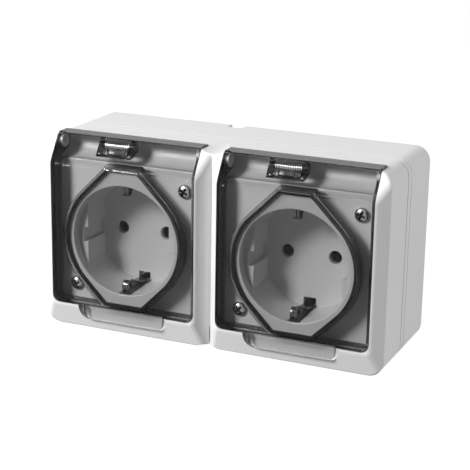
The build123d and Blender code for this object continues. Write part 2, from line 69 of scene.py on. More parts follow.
# Places on the CAD frame
OUTLET_X = {"left": -34.7 * MM, "right": 34.7 * MM}
OUTLET_Z = -0.3 * MM
LID_FACE_Y = -51.5 * MM
PLATE_Y = -43.5 * MM
HINGE_Y = -42.5 * MM
HINGE_Z = 34.6 * MM
LID_FOLD_Z = 27.9 * MM

# Cover screw: the head's upright rim, bevelled foot and flat underside, and the shank's tapered tip
HEAD_RIM = 0.45 * MM
HEAD_BEVEL = 0.15 * MM
HEAD_UNDERSIDE = 0.01 * MM
TIP_LENGTH = 1.2 * MM
TIP_RATIO = 0.5

# Cross recess: how far its cutter stands above the head, how it narrows, and each screw's turn in radians
CUTTER_ABOVE = 0.4 * MM
RECESS_TAPER = (0.36, 1, 0.62)
SCREW_TURNS = {"left": (0.5, 1.1), "right": (0.35, 0.8)}

# Earth spring: points of one arm, as depth behind the lid's face and distance from the well's middle, in mm
CLIP_ARM = (
    (6.0, 21.2), (5.6, 20.4), (5.5, 19.3), (5.7, 18.2), (6.3, 17.3), (7.2, 16.9), (8.1, 17.3), (8.6, 18.3),
    (9.0, 19.4), (9.8, 20.2), (10.8, 20.1), (11.5, 19.2), (12.3, 18.5), (13.3, 18.5), (14.0, 19.0),
    (15.2, 19.4), (18.0, 19.4), (40.4, 19.4), (42.2, 19.4), (43.0, 18.7), (43.0, 17.0),
)
CLIP_FINGER_DEPTH = 14.0 * MM
CLIP_EDGE = 0.14 * MM
CLIP_EDGE_ANGLE = math.radians(60)
CLIP_HOLE_DEPTH = 43.0 * MM
CLIP_HOLE_RADIUS = 1.7 * MM
CLIP_HOLE_LENGTH = 4.0 * MM
SLIT_ACROSS = -0.55 * MM
SLIT_DEPTH = 7.0 * MM
SLIT_SIZE = (0.4 * MM, 6.0 * MM, 60.0 * MM)

# Fineness of round forms, and margins for picking and welding points
ROUND_STEPS = 48
DOME_STEPS = 8
COIL_STEPS = 24
WIRE_STEPS = 12
SMOOTH_ANGLE = math.radians(35)
WIRE_SMOOTH_ANGLE = math.radians(50)
PICK_MARGIN = 0.02 * MM
WELD_DISTANCE = 0.001 * MM

# Optics and skins of the materials
PLASTIC_IOR = 1.5
LID_ROUGHNESS = 0.015
SKIN_OUTPUTS = ("Height", "Roughness", "Shade")
LINE_STRETCH = (1.0, 0.12, 1.0)

# Colour sockets of a Mix node, whose names repeat
MIX_FIRST = 6
MIX_SECOND = 7
MIX_RESULT = 2

# Studio: name, place and edge of each lamp and the floor's edge in metres, and the sensor in millimetres
LAMPS = (
    ("key_lamp", (-0.5, -0.74, 0.48), 0.25),
    ("top_lamp", (0.1, 0.15, 0.9), 0.4),
    ("side_lamp", (0.95, 0.1, 0.2), 0.4),
)
FLOOR_EDGE = 12
FLOOR_GREY = 0.2
FLOOR_GLOW = 0.95
SENSOR_WIDTH = 36


def colour_property(name, description, default):
    """Colour with its default."""
    return bpy.props.FloatVectorProperty(
        name=name, description=description, subtype="COLOR", size=3, min=0, max=1, default=default,
    )


def length_property(name, description, low, high, default):
    """Length with its limits and its default in millimetres."""
    return bpy.props.FloatProperty(
        name=name, description=description, unit="LENGTH", min=low * MM, max=high * MM, default=default * MM,
    )


def angle_property(name, description, default):
    """Angle with its default in degrees."""
    return bpy.props.FloatProperty(
        name=name, description=description, subtype="ANGLE", default=math.radians(default),
    )


def power_property(name, description, default):
    """Power of a lamp in watts."""
    return bpy.props.FloatProperty(
        name=name, description=description, subtype="POWER", unit="POWER", min=0, max=50, default=default,
    )


def number_property(name, description, low, high, default):
    """Plain number with its limits and its default."""
    return bpy.props.FloatProperty(name=name, description=description, min=low, max=high, default=default)


class SocketFinish(bpy.types.PropertyGroup):
    """Colours and finishes of the mouldings, the lids and the metal."""

    housing_colour: colour_property("Housing", "Colour of the frame and the back box", (0.74, 0.74, 0.745))
    insert_colour: colour_property("Insert", "Colour of the socket inserts", (0.72, 0.72, 0.725))
    rubber_colour: colour_property("Rubber", "Colour of the seals and the cable bush", (0.012, 0.012, 0.013))
    steel_colour: colour_property(
        "Steel", "Colour of the terminal screws and the hinge pins", (0.14, 0.14, 0.145),
    )
    screw_colour: colour_property("Cover screws", "Colour of the plated cover screws", (0.42, 0.42, 0.425))
    # Painted shade: the cross recess gets a near-black colour in place of the shade that falls in it
    recess_shade_colour: colour_property("Screw recess", "Colour of the blackened cross recess", (0.01, 0.01, 0.01))
    # Near-black; on the channels' linings it is painted shade of the deep earth channels
    block_and_lining_shade_colour: colour_property(
        "Contact blocks", "Colour of the carriers behind the wells and of the channels' linings",
        (0.012, 0.012, 0.013),
    )
    spring_colour: colour_property("Spring steel", "Colour of the closing springs", (0.6, 0.6, 0.61))
    clip_colour: colour_property("Earth clips", "Colour of the plated earth springs", (0.15, 0.15, 0.15))
    brass_colour: colour_property("Brass", "Colour of the contact sleeves", (0.33, 0.25, 0.14))
    lid_tint: number_property(
        "Lid tint", "Brightness of the smoky tint; at 0 the whole density counts", 0, 1, 0.0,
    )
    lid_density: number_property(
        "Lid density", "How fast light is lost in the smoky plastic, per metre", 0, 2000, 178,
    )
    lid_ior: number_property("Lid refraction", "Index of refraction of the lid plastic", 1, 2, 1.22)
    # Painted shade: how dark the lid's walls are painted where they are seen along their length
    wall_shade: number_property(
        "Lid wall shade", "How much light passes the lid's walls, seen along their length", 0, 1, 0.1,
    )
    fold_width: length_property("Lid fold width", "Width of the groove along the lid's fold", 0.1, 5, 1.2)
    fold_depth: length_property("Lid fold depth", "Depth of the groove along the lid's fold", 0, 1, 0.3)


class SocketHardware(bpy.types.PropertyGroup):
    """Sizes of the pieces that are modelled here."""

    head_radius: length_property("Screw head radius", "Outer radius of a cover screw's head", 1, 6, 2.75)
    head_height: length_property("Screw head height", "Height of the domed head above its seat", 0.5, 5, 1.75)
    shank_radius: length_property("Screw shank radius", "Radius of the screw's shank", 0.5, 4, 1.7)
    shank_length: length_property("Screw length", "Length of the shank below the head", 5, 50, 28.0)
    screw_across: length_property(
        "Screw across", "Sideways distance of a cover screw from the outlet's centre", 5, 50, 23.2,
    )
    screw_up: length_property(
        "Screw up", "Upright distance of a cover screw from the outlet's centre", 5, 50, 21.2,
    )
    recess_reach: length_property(
        "Cross recess reach", "Length of one wing of the cross from the centre", 0.5, 4, 2.1,
    )
    recess_width: length_property("Cross recess width", "Width of one wing of the cross", 0.2, 2, 1.05)
    recess_depth: length_property(
        "Cross recess depth", "Depth of the cross below the top of the dome", 0.2, 3, 1.7,
    )
    wire_radius: length_property("Spring wire radius", "Radius of the closing spring's wire", 0.1, 1, 0.26)
    coil_radius: length_property("Coil radius", "Radius of the coil at the middle of its wire", 0.5, 5, 2.0)
    coil_pitch: length_property("Coil pitch", "Distance from one turn of the spring to the next", 0.2, 5, 0.9)
    coil_start: length_property(
        "Coil start", "Where the coil starts, sideways from the outlet's centre", -30, 30, -10.6,
    )
    coil_turns: bpy.props.IntProperty(
        name="Coil turns", description="Number of turns of the closing spring", min=2, max=40, default=12,
    )
    front_leg: length_property("Front leg", "Length of the spring's leg towards the lid's face", 1, 20, 5.9)
    rear_leg: length_property("Rear leg", "Length of the spring's leg towards the hinge trough", 1, 20, 4.9)
    clip_width: length_property("Clip width", "Width of the earth spring's strip behind the well", 1, 10, 4.2)
    clip_finger: length_property("Clip finger", "Width of the sprung finger in its channel", 1, 10, 2.7)
    clip_metal: length_property("Clip metal", "Thickness of the earth spring's strip", 0.2, 2, 0.6)


class SocketStudio(bpy.types.PropertyGroup):
    """Camera and lamps."""

    azimuth: angle_property("Azimuth", "Camera direction round the socket", 23.54)
    elevation: angle_property("Elevation", "Camera height above the level", 16.58)
    roll: angle_property("Roll", "Turn of the camera about its own line of sight", 0.99)
    distance: length_property("Distance", "From the camera to its target", 100, 5000, 545.5)
    target: bpy.props.FloatVectorProperty(
        name="Target", description="Point that the camera looks at",
        subtype="XYZ", unit="LENGTH", size=3, default=(3.6 * MM, -31.5 * MM, 2.8 * MM),
    )
    lens: number_property("Lens", "Focal length in millimetres, on the sensor's width", 10, 300, 110.26)
    world_light: number_property("World light", "Strength of the soft light from all round", 0, 2, 0.12)
    key_light: power_property("Key light", "Power of the large lamp at the upper left", 13.3)
    top_light: power_property("Top light", "Power of the lamp above the socket", 1.3)
    side_light: power_property("Side light", "Power of the lamp at the right, level with the wall", 3.5)


def link(tree, source, target):
    """Join an output socket to an input socket."""
    tree.links.new(source, target)


def output_of(tree):
    """Output node of a material's tree."""
    return next(node for node in tree.nodes if node.type == "OUTPUT_MATERIAL")


def clean(name):
    """Fresh material with its output and no other node."""
    material = bpy.data.materials.new(name)
    material.use_nodes = True
    nodes = material.node_tree.nodes
    for node in list(nodes):
        if node.type != "OUTPUT_MATERIAL":
            nodes.remove(node)
    return material


def shader(material, colour, roughness, metallic=0.0):
    """Principled shader joined to the material's output."""
    tree = material.node_tree
    node = tree.nodes.new("ShaderNodeBsdfPrincipled")
    node.inputs["Base Color"].default_value = (*colour, 1)
    node.inputs["Roughness"].default_value = roughness
    node.inputs["Metallic"].default_value = metallic
    link(tree, node.outputs["BSDF"], output_of(tree).inputs["Surface"])
    return node


def math_node(tree, operation, first, second=0.0):
    """Math node fed by sockets or plain values."""
    node = tree.nodes.new("ShaderNodeMath")
    node.operation = operation
    for socket, value in zip(node.inputs, (first, second)):
        if isinstance(value, bpy.types.NodeSocket):
            link(tree, value, socket)
        else:
            socket.default_value = value
    return node.outputs[0]


def new_group(name, inputs, outputs):
    """Node group on a place, with float inputs and their defaults, and float outputs."""
    group = bpy.data.node_groups.new(name, "ShaderNodeTree")
    group.interface.new_socket("Place", in_out="INPUT", socket_type="NodeSocketVector")
    for label, value in inputs.items():
        socket = group.interface.new_socket(label, in_out="INPUT", socket_type="NodeSocketFloat")
        socket.default_value = value
    for label in outputs:
        group.interface.new_socket(label, in_out="OUTPUT", socket_type="NodeSocketFloat")
    entry = group.nodes.new("NodeGroupInput")
    leave = group.nodes.new("NodeGroupOutput")
    return group, entry, leave


def noise(tree, place, scale, detail, roughness):
    """Noise texture on a place socket, with a socket for its scale."""
    node = tree.nodes.new("ShaderNodeTexNoise")
    node.inputs["Detail"].default_value = detail
    node.inputs["Roughness"].default_value = roughness
    link(tree, place, node.inputs["Vector"])
    link(tree, scale, node.inputs["Scale"])
    return node.outputs["Fac"]


def skin_outputs(group, entry, leave, fine, slow):
    """Put out a fine pattern as the height, and a roughness and a shade that follow a slow pattern."""
    link(group, fine, leave.inputs["Height"])
    centred = math_node(group, "SUBTRACT", slow, 0.5)
    for label, change, middle in (
        ("Roughness", "Gloss Change", entry.outputs["Gloss"]),
        ("Shade", "Shade Change", 1.0),
    ):
        step = math_node(group, "MULTIPLY", centred, entry.outputs[change])
        link(group, math_node(group, "ADD", step, middle), leave.inputs[label])


def moulded_skin_group():
    """Spark-eroded grain of a moulding with slow flow marks."""
    group, entry, leave = new_group(
        "moulded_skin",
        {"Grain Scale": 2600.0, "Flow Scale": 45.0, "Gloss": 0.4, "Gloss Change": 0.1, "Shade Change": 0.03},
        SKIN_OUTPUTS,
    )
    place = entry.outputs["Place"]
    grain = noise(group, place, entry.outputs["Grain Scale"], detail=2.0, roughness=0.6)
    flow = noise(group, place, entry.outputs["Flow Scale"], detail=3.0, roughness=0.5)
    skin_outputs(group, entry, leave, grain, flow)
    return group


def drawn_metal_group():
    """Fine lines and slow stains of drawn or rolled metal."""
    group, entry, leave = new_group(
        "drawn_metal",
        {"Line Scale": 900.0, "Stain Scale": 260.0, "Gloss": 0.2, "Gloss Change": 0.12, "Shade Change": 0.3},
        SKIN_OUTPUTS,
    )
    place = entry.outputs["Place"]
    stretch = group.nodes.new("ShaderNodeMapping")
    stretch.inputs["Scale"].default_value = LINE_STRETCH
    link(group, place, stretch.inputs["Vector"])
    lines = noise(group, stretch.outputs["Vector"], entry.outputs["Line Scale"], detail=2.0, roughness=0.6)
    stain = noise(group, place, entry.outputs["Stain Scale"], detail=3.0, roughness=0.6)
    skin_outputs(group, entry, leave, lines, stain)
    return group


def place_along(group, entry, axis):
    """One axis of a group's place."""
    apart = group.nodes.new("ShaderNodeSeparateXYZ")
    link(group, entry.outputs["Place"], apart.inputs["Vector"])
    return apart.outputs[axis]


def painted_wall_shade_group():
    """Painted shade on a tinted moulding by its facing: clear on broad faces, painted dark along its walls,
    where light is lost along their length.
    """
    group, entry, leave = new_group(
        "painted_wall_shade", {"Face Shade": 1.0, "Wall Shade": 0.2, "From": 0.25, "To": 1.0}, ("Shade",),
    )
    blend = group.nodes.new("ShaderNodeMapRange")
    blend.interpolation_type = "SMOOTHSTEP"
    link(group, math_node(group, "ABSOLUTE", place_along(group, entry, "Y")), blend.inputs["Value"])
    ranges = {"From": "From Min", "To": "From Max", "Wall Shade": "To Min", "Face Shade": "To Max"}
    for label, socket in ranges.items():
        link(group, entry.outputs[label], blend.inputs[socket])
    link(group, blend.outputs["Result"], leave.inputs["Shade"])
    return group


def fold_line_group():
    """Height of a shallow groove that follows one level across a moulding."""
    group, entry, leave = new_group(
        "fold_line", {"Level": LID_FOLD_Z, "Half Width": 0.6 * MM}, ("Height",),
    )
    offset = math_node(group, "SUBTRACT", place_along(group, entry, "Z"), entry.outputs["Level"])
    away = math_node(group, "ABSOLUTE", offset)
    ratio = math_node(group, "DIVIDE", away, entry.outputs["Half Width"])
    link(group, math_node(group, "MINIMUM", ratio, 1.0), leave.inputs["Height"])
    return group


def group_for(name, maker):
    """The node group of that name, made once."""
    return bpy.data.node_groups.get(name) or maker()


def effect(material, group, values, coordinate="Object"):
    """Node group placed in a material on a texture coordinate, with the values given."""
    tree = material.node_tree
    node = tree.nodes.new("ShaderNodeGroup")
    node.node_tree = group
    place = tree.nodes.new("ShaderNodeTexCoord")
    link(tree, place.outputs[coordinate], node.inputs["Place"])
    for label, value in values.items():
        node.inputs[label].default_value = value
    return node


def shade_by(material, colour, shade):
    """Colour multiplied by a shade value."""
    tree = material.node_tree
    mix = tree.nodes.new("ShaderNodeMix")
    mix.data_type = "RGBA"
    mix.blend_type = "MULTIPLY"
    mix.inputs["Factor"].default_value = 1
    mix.inputs[MIX_FIRST].default_value = (*colour, 1)
    link(tree, shade, mix.inputs[MIX_SECOND])
    return mix.outputs[MIX_RESULT]


def bump(material, height, distance):
    """Bump node on a height, in metres of depth."""
    tree = material.node_tree
    node = tree.nodes.new("ShaderNodeBump")
    node.inputs["Strength"].default_value = 1
    node.inputs["Distance"].default_value = distance
    link(tree, height, node.inputs["Height"])
    return node.outputs["Normal"]


def finished(name, colour, group, values, depth, metallic=0.0):
    """Material of one colour with a skin from a node group, and its shader."""
    material = clean(name)
    tree = material.node_tree
    skin = effect(material, group, values)
    surface = shader(material, colour, values["Gloss"], metallic)
    link(tree, shade_by(material, colour, skin.outputs["Shade"]), surface.inputs["Base Color"])
    link(tree, skin.outputs["Roughness"], surface.inputs["Roughness"])
    link(tree, bump(material, skin.outputs["Height"], depth), surface.inputs["Normal"])
    return material, surface


def moulded_plastic(name, colour, gloss, depth):
    """Thermoplastic with a fine eroded grain and faint flow marks."""
    group = group_for("moulded_skin", moulded_skin_group)
    material, surface = finished(name, colour, group, {"Gloss": gloss}, depth)
    surface.inputs["IOR"].default_value = PLASTIC_IOR
    return material


def black_rubber(colour):
    """Matt rubber with a faint bloom."""
    values = {
        "Grain Scale": 1800.0, "Flow Scale": 90.0, "Gloss": 0.62, "Gloss Change": 0.2, "Shade Change": 0.5,
    }
    group = group_for("moulded_skin", moulded_skin_group)
    material, surface = finished("black_rubber", colour, group, values, depth=0.02 * MM)
    surface.inputs["Specular IOR Level"].default_value = 0.3
    return material


def metal(name, colour, gloss, depth):
    """Plated or drawn metal."""
    group = group_for("drawn_metal", drawn_metal_group)
    material, _ = finished(name, colour, group, {"Gloss": gloss}, depth, metallic=1.0)
    return material


def smoky_plastic(finish):
    """Clear plastic with a grey tint in its depth, which lets lamps through to what it covers."""
    material = clean("smoky_plastic")
    tree = material.node_tree
    glass = shader(material, (1, 1, 1), LID_ROUGHNESS)
    glass.inputs["IOR"].default_value = finish.lid_ior
    glass.inputs["Transmission Weight"].default_value = 1
    fold = effect(material, group_for("fold_line", fold_line_group), {"Half Width": finish.fold_width / 2})
    link(tree, bump(material, fold.outputs["Height"], finish.fold_depth), glass.inputs["Normal"])
    # Painted shade: the lid's walls, seen along their length, get a darker colour by their facing; the same
    # shade also dims lamp light passing them
    walls = effect(
        material, group_for("painted_wall_shade", painted_wall_shade_group), {"Wall Shade": finish.wall_shade}, "Normal",
    )
    link(tree, walls.outputs["Shade"], glass.inputs["Base Color"])
    clear = tree.nodes.new("ShaderNodeBsdfTransparent")
    link(tree, walls.outputs["Shade"], clear.inputs["Color"])
    rays = tree.nodes.new("ShaderNodeLightPath")
    last = glass.outputs["BSDF"]
    for kind in ("Is Shadow Ray", "Is Diffuse Ray"):
        mix = tree.nodes.new("ShaderNodeMixShader")
        link(tree, rays.outputs[kind], mix.inputs["Fac"])
        link(tree, last, mix.inputs[1])
        link(tree, clear.outputs["BSDF"], mix.inputs[2])
        last = mix.outputs["Shader"]
    tint = tree.nodes.new("ShaderNodeVolumeAbsorption")
    tint.inputs["Color"].default_value = (finish.lid_tint, finish.lid_tint, finish.lid_tint, 1)
    tint.inputs["Density"].default_value = finish.lid_density
    output = output_of(tree)
    link(tree, last, output.inputs["Surface"])
    link(tree, tint.outputs["Volume"], output.inputs["Volume"])
    return material


def dress(material, *names):
    """Give CAD nodes their material."""
    for name in names:
        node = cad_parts[name]
        node.data.materials.clear()
        node.data.materials.append(material)


def both(piece):
    """Names of one kind of node in the two outlets."""
    return [f"{side}_{piece}" for side in SIDES]


class SOCKET_OT_housing(bpy.types.Operator):
    """Finish the front frame and the back box as grained white plastic."""

    bl_idname = "socket.housing"
    bl_label = "Housing"

    def execute(self, context):
        colour = context.scene.socket_finish.housing_colour
        plastic = moulded_plastic("housing_plastic", colour, gloss=0.42, depth=0.006 * MM)
        dress(plastic, "front_frame", "back_box")
        return {"FINISHED"}


class SOCKET_OT_inserts(bpy.types.Operator):
    """Finish the socket inserts, the dark linings that paint the shade in their channels, and the contact
    blocks behind them.
    """

    bl_idname = "socket.inserts"
    bl_label = "Inserts"

    def execute(self, context):
        finish = context.scene.socket_finish
        plastic = moulded_plastic("insert_plastic", finish.insert_colour, gloss=0.38, depth=0.004 * MM)
        dress(plastic, *both("insert"))
        # The linings are dark sheets that paint the shade in the deep earth channels
        carrier = moulded_plastic("carrier_plastic_and_lining_shade", finish.block_and_lining_shade_colour, gloss=0.45, depth=0.004 * MM)
        dress(carrier, *both("contact_block"), *both("clip_linings"))
        return {"FINISHED"}


class SOCKET_OT_rubber(bpy.types.Operator):
    """Finish the seals, the gaskets and the cable bush as black rubber."""

    bl_idname = "socket.rubber"
    bl_label = "Rubber Seals"

    def execute(self, context):
        rubber = black_rubber(context.scene.socket_finish.rubber_colour)
        dress(rubber, "body_gasket", "cable_grommet", *both("lid_seal"), *both("insert_gasket"))
        return {"FINISHED"}


class SOCKET_OT_metal(bpy.types.Operator):
    """Finish the contact sleeves, the terminal screws and the spring pins."""

    bl_idname = "socket.metal"
    bl_label = "Metal Parts"

    def execute(self, context):
        finish = context.scene.socket_finish
        brass = metal("contact_brass", finish.brass_colour, gloss=0.28, depth=0.004 * MM)
        dress(brass, *both("pin_contacts"))
        steel = metal("zinc_steel", finish.steel_colour, gloss=0.25, depth=0.004 * MM)
        dress(steel, *both("terminal_screws"), *both("spring_pin"))
        return {"FINISHED"}


def deselect_all():
    """Nothing selected, so that the next primitive is alone."""
    if bpy.context.object and bpy.context.object.mode == "EDIT":
        bpy.ops.object.mode_set(mode="OBJECT")
    bpy.ops.object.select_all(action="DESELECT")


def select_only(piece):
    """One piece selected and active."""
    deselect_all()
    piece.select_set(True)
    bpy.context.view_layer.objects.active = piece


def named(name):
    """The active object under its piece name."""
    piece = bpy.context.active_object
    piece.name = name
    piece.data.name = name
    return piece


def bake_transform(location=True):
    """Apply the selected piece's turn and scale, and its place too where asked, to its mesh."""
    bpy.ops.object.transform_apply(location=location, rotation=True, scale=True)


@contextlib.contextmanager
def editing():
    """Edit mode on the active piece, with all of it selected at the start."""
    bpy.ops.object.mode_set(mode="EDIT")
    bpy.ops.mesh.select_all(action="SELECT")
    yield
    bpy.ops.object.mode_set(mode="OBJECT")


def face_outward():
    """Turn all faces of the edited mesh outward."""
    bpy.ops.mesh.select_all(action="SELECT")
    bpy.ops.mesh.normals_make_consistent(inside=False)


def pick_points(piece, wanted):
    """Select the points of a mesh in edit mode whose place passes a test."""
    bpy.ops.mesh.select_mode(type="VERT")
    bpy.ops.mesh.select_all(action="DESELECT")
    mesh = bmesh.from_edit_mesh(piece.data)
    for point in mesh.verts:
        point.select_set(wanted(point.co))
    mesh.select_flush(True)
    bmesh.update_edit_mesh(piece.data)


def within(centre, reach):
    """Test for places that lie within a reach of a centre along each axis."""
    return lambda place: all(abs(p - c) < r for p, c, r in zip(place, centre, reach))


def extrude_by(step):
    """Extrude what is selected by a step."""
    bpy.ops.mesh.extrude_region_move(TRANSFORM_OT_translate={"value": step})


def scale_about(ratio, centre):
    """Scale what is selected about a point."""
    bpy.ops.transform.resize(value=(ratio, ratio, ratio), center_override=centre)


def turned_rings(rings):
    """Turned solid on the Y axis from pairs of place and radius, closed at both ends."""
    place, radius = rings[0]
    deselect_all()
    bpy.ops.mesh.primitive_circle_add(
        vertices=ROUND_STEPS, radius=radius, fill_type="NGON",
        location=(0, place, 0), rotation=(math.pi / 2, 0, 0),
    )
    bake_transform()
    with editing():
        for next_place, next_radius in rings[1:]:
            extrude_by((0, next_place - place, 0))
            scale_about(next_radius / radius, (0, next_place, 0))
            place, radius = next_place, next_radius
        face_outward()


def apply_modifier(piece, kind, **values):
    """Add a modifier with its values and apply it."""
    modifier = piece.modifiers.new(kind.title(), kind)
    for label, value in values.items():
        setattr(modifier, label, value)
    bpy.context.view_layer.objects.active = piece
    bpy.ops.object.modifier_apply(modifier=modifier.name)


def cut_by(piece, cutter):
    """Take a cutter out of a piece and delete it. The cut faces keep the cutter's material, if any."""
    mode = "TRANSFER" if cutter.data.materials else "INDEX"
    apply_modifier(
        piece, "BOOLEAN", operation="DIFFERENCE", object=cutter, solver="EXACT", material_mode=mode,
    )
    bpy.data.objects.remove(cutter)


def cross_cutter(hardware, turn):
    """One tapered wing pair of the cross recess, turned about the screw's axis."""
    top = -hardware.head_height - CUTTER_ABOVE
    height = hardware.recess_depth + CUTTER_ABOVE
    floor = top + height
    deselect_all()
    bpy.ops.mesh.primitive_cube_add(size=1, location=(0, 0, 0))
    cutter = named("cross_cutter")
    with editing():
        bpy.ops.transform.resize(
            value=(2 * hardware.recess_reach, height, hardware.recess_width), center_override=(0, 0, 0),
        )
        bpy.ops.transform.translate(value=(0, top + height / 2, 0))
        pick_points(cutter, lambda place: place.y > floor - PICK_MARGIN)
        bpy.ops.transform.resize(value=RECESS_TAPER, center_override=(0, floor, 0))
    cutter.rotation_euler = (0, turn, 0)
    bake_transform()
    return cutter


def screw_rings(hardware):
    """Places and radii of a screw from its tip to the top of its dome, its seat at zero."""
    head, shank, tip = hardware.head_radius, hardware.shank_radius, hardware.shank_length
    dome = hardware.head_height - HEAD_RIM
    rings = [
        (tip, TIP_RATIO * shank), (tip - TIP_LENGTH, shank), (0, shank),
        (-HEAD_UNDERSIDE, head - HEAD_BEVEL), (-HEAD_BEVEL, head), (-HEAD_RIM, head),
    ]
    for step in range(1, DOME_STEPS):
        angle = step / DOME_STEPS * math.pi / 2
        rings.append((-HEAD_RIM - dome * math.sin(angle), head * math.cos(angle)))
    return rings


def cross_screw(hardware, plating, shaded):
    """Domed cross-slot screw on the Y axis, its seat at the origin, its cross recess in a near-black painted
    shade.
    """
    turned_rings(screw_rings(hardware))
    screw = named("cover_screw")
    screw.data.materials.append(plating)
    for turn in (0, math.pi / 2):
        cutter = cross_cutter(hardware, turn)
        cutter.data.materials.append(shaded)
        cut_by(screw, cutter)
    select_only(screw)
    bpy.ops.object.shade_smooth_by_angle(angle=SMOOTH_ANGLE)
    return screw


def copy_at(piece, name, place, turn):
    """Copy of a piece with its own mesh, turned about Y and put in its place."""
    select_only(piece)
    bpy.ops.object.duplicate(linked=False)
    copy = named(name)
    copy.location = place
    copy.rotation_euler = (0, turn, 0)
    bake_transform()
    return copy


def joined(pieces, name):
    """Several pieces made one."""
    select_only(pieces[0])
    for piece in pieces:
        piece.select_set(True)
    bpy.ops.object.join()
    return named(name)


def fitted(piece, body, slot, material, *nodes):
    """Attach a piece to its body, hide the CAD nodes it stands for, and give it a material if it has none;
    its slot is not used.
    """
    if not piece.data.materials:
        piece.data.materials.append(material)
    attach(piece, body)
    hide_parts(*nodes)


class SOCKET_OT_screws(bpy.types.Operator):
    """Turn the cover screws, cut their cross recesses and seat them on the inserts."""

    bl_idname = "socket.screws"
    bl_label = "Cover Screws"

    def execute(self, context):
        hardware = context.scene.socket_hardware
        finish = context.scene.socket_finish
        plating = metal("screw_plating", finish.screw_colour, gloss=0.22, depth=0.006 * MM)
        # Painted shade: near-black metal on the recess's cut faces stands in for the shade inside the cross
        shaded = metal("painted_recess_shade", finish.recess_shade_colour, gloss=0.5, depth=0.006 * MM)
        pattern = cross_screw(hardware, plating, shaded)
        for side in SIDES:
            x = OUTLET_X[side]
            places = (
                (x + hardware.screw_across, PLATE_Y, OUTLET_Z + hardware.screw_up),
                (x - hardware.screw_across, PLATE_Y, OUTLET_Z - hardware.screw_up),
            )
            pair = [copy_at(pattern, "screw", place, turn) for place, turn in zip(places, SCREW_TURNS[side])]
            screws = joined(pair, f"{side}_cross_screws")
            fitted(screws, HOUSING_BODY, "screw_steel", plating, f"{side}_cover_screws")
        bpy.data.objects.remove(pattern)
        return {"FINISHED"}


def wound_spring(hardware, name, x):
    """Torsion spring: a wound coil on the hinge line with a straight leg at each end."""
    start = x + hardware.coil_start
    end = start + hardware.coil_pitch * hardware.coil_turns
    low = HINGE_Z - hardware.coil_radius
    deselect_all()
    bpy.ops.mesh.primitive_circle_add(
        vertices=WIRE_STEPS, radius=hardware.wire_radius, fill_type="NOTHING",
        location=(start, HINGE_Y, low), rotation=(math.pi / 2, 0, 0),
    )
    spring = named(name)
    bake_transform(location=False)
    bpy.context.scene.cursor.location = (start, HINGE_Y, HINGE_Z)
    bpy.ops.object.origin_set(type="ORIGIN_CURSOR")
    apply_modifier(
        spring, "SCREW", axis="X", angle=2 * math.pi, screw_offset=hardware.coil_pitch,
        iterations=hardware.coil_turns, steps=COIL_STEPS, render_steps=COIL_STEPS,
    )
    bake_transform()
    reach = hardware.wire_radius + PICK_MARGIN
    for leg_x, step in ((start, -hardware.front_leg), (end, hardware.rear_leg)):
        with editing():
            pick_points(spring, within((leg_x, HINGE_Y, low), (reach, PICK_MARGIN, reach)))
            extrude_by((0, step, 0))
            bpy.ops.mesh.edge_face_add()
    with editing():
        bpy.ops.mesh.remove_doubles(threshold=WELD_DISTANCE)
        face_outward()
    bpy.ops.object.shade_smooth_by_angle(angle=WIRE_SMOOTH_ANGLE)
    return spring


class SOCKET_OT_springs(bpy.types.Operator):
    """Wind the closing springs and let each ride on its lid."""

    bl_idname = "socket.springs"
    bl_label = "Closing Springs"

    def execute(self, context):
        hardware = context.scene.socket_hardware
        wire = metal("spring_wire", context.scene.socket_finish.spring_colour, gloss=0.2, depth=0.004 * MM)
        for side in SIDES:
            spring = wound_spring(hardware, f"{side}_closing_spring", OUTLET_X[side])
            fitted(spring, LID_BODY[side], "spring_steel", wire, f"{side}_torsion_spring")
        return {"FINISHED"}


def clip_arm(x, way):
    """Points of one arm of the earth spring, above or below the well's middle."""
    return [Vector((x, LID_FACE_Y + depth * MM, OUTLET_Z + way * away * MM)) for depth, away in CLIP_ARM]


def bent_strip(hardware, name, x):
    """Strip bent from the lower finger's tip to the upper one's, with a thickness and rounded edges."""
    route = clip_arm(x, -1) + clip_arm(x, 1)[::-1]
    deselect_all()
    bpy.ops.mesh.primitive_plane_add(size=hardware.clip_width, location=route[0])
    strip = named(name)
    bake_transform()
    with editing():
        pick_points(strip, lambda place: place.y < route[0].y)
        bpy.ops.mesh.delete(type="VERT")
        bpy.ops.mesh.select_all(action="SELECT")
        bpy.ops.transform.translate(value=(0, -hardware.clip_width / 2, 0))
        for here, there in zip(route, route[1:]):
            extrude_by(tuple(there - here))
        front = LID_FACE_Y + CLIP_FINGER_DEPTH
        pick_points(strip, lambda place: place.y < front and place.x > x)
        bpy.ops.transform.translate(value=(hardware.clip_finger - hardware.clip_width, 0, 0))
    apply_modifier(strip, "SUBSURF", levels=2, render_levels=2, boundary_smooth="PRESERVE_CORNERS")
    apply_modifier(strip, "SOLIDIFY", thickness=hardware.clip_metal, offset=0, use_even_offset=True)
    apply_modifier(
        strip, "BEVEL", width=CLIP_EDGE, segments=2, limit_method="ANGLE", angle_limit=CLIP_EDGE_ANGLE,
    )
    return strip


def bent_clip(hardware, name, x):
    """Earth spring: a bent strip with its screw hole and with slit fingers."""
    clip = bent_strip(hardware, name, x)
    deselect_all()
    bpy.ops.mesh.primitive_cylinder_add(
        vertices=ROUND_STEPS, radius=CLIP_HOLE_RADIUS, depth=CLIP_HOLE_LENGTH,
        location=(x, LID_FACE_Y + CLIP_HOLE_DEPTH, OUTLET_Z), rotation=(math.pi / 2, 0, 0),
    )
    cut_by(clip, named("screw_hole_cutter"))
    deselect_all()
    bpy.ops.mesh.primitive_cube_add(size=1, location=(x + SLIT_ACROSS, LID_FACE_Y + SLIT_DEPTH, OUTLET_Z))
    slit = named("finger_slit_cutter")
    bpy.ops.transform.resize(value=SLIT_SIZE)
    bake_transform()
    cut_by(clip, slit)
    select_only(clip)
    with editing():
        face_outward()
    bpy.ops.object.shade_smooth_by_angle(angle=SMOOTH_ANGLE)
    return clip


